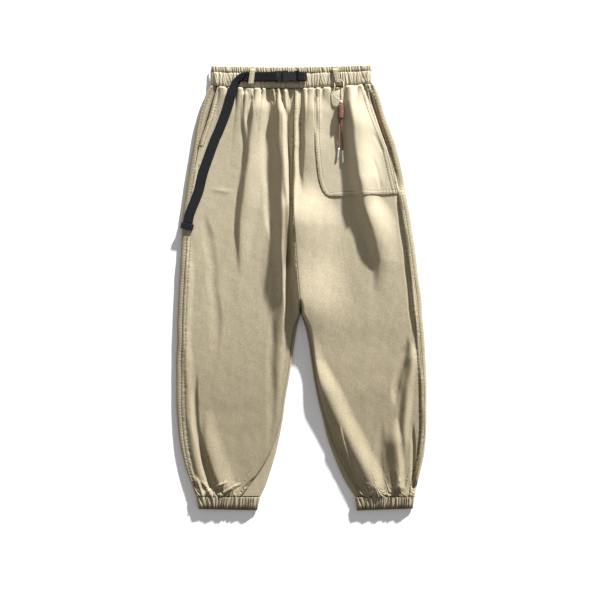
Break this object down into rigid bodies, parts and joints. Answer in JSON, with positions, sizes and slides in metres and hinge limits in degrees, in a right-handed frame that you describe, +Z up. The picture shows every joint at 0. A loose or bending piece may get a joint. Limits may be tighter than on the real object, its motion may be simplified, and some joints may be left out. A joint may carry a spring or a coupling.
{
  "type": "casual trousers",
  "caption": "Loose elastic-waist, elastic-cuff cotton trousers laid flat, with a buckled webbing belt, a patch pocket and a hanging cord charm.",
  "frame": {"origin": "middle of the bounding box in plan, on the surface that the garment lies on", "axes": "+X toward the wearer's left leg, +Y from the cuffs toward the waist, +Z up from the surface, toward the front of the garment"},
  "size_m": [0.5276, 0.937, 0.0298],
  "materials": {
    "twill": "washed cotton twill, matt",
    "webbing": "ribbed webbing, matt",
    "plastic": "moulded, fine grain",
    "cream_cord": "round cord, matt",
    "brown_cord": "round braided cord",
    "metal": "plain bright cord tips"
  },
  "bodies": {
    "root": {"front_right": "twill", "front_left": "twill", "back_right": "twill", "back_left": "twill", "waistband_front": "twill", "waistband_back": "twill", "cuff_right_front": "twill", "cuff_right_back": "twill", "cuff_left_front": "twill", "cuff_left_back": "twill", "pocket_facing": "twill", "patch_pocket": "twill", "belt_loop_right": "twill", "belt_loop_left": "twill", "belt_strap": "webbing", "strap_end": "webbing", "belt_anchor": "webbing", "buckle_male": "plastic", "buckle_female": "plastic", "charm_loop": "cream_cord", "charm_ring": "cream_cord", "charm_knot": "brown_cord", "charm_cord_a": "brown_cord", "charm_cord_b": "brown_cord", "charm_tip_a": "metal", "charm_tip_b": "metal"}
  },
  "joints": []
}
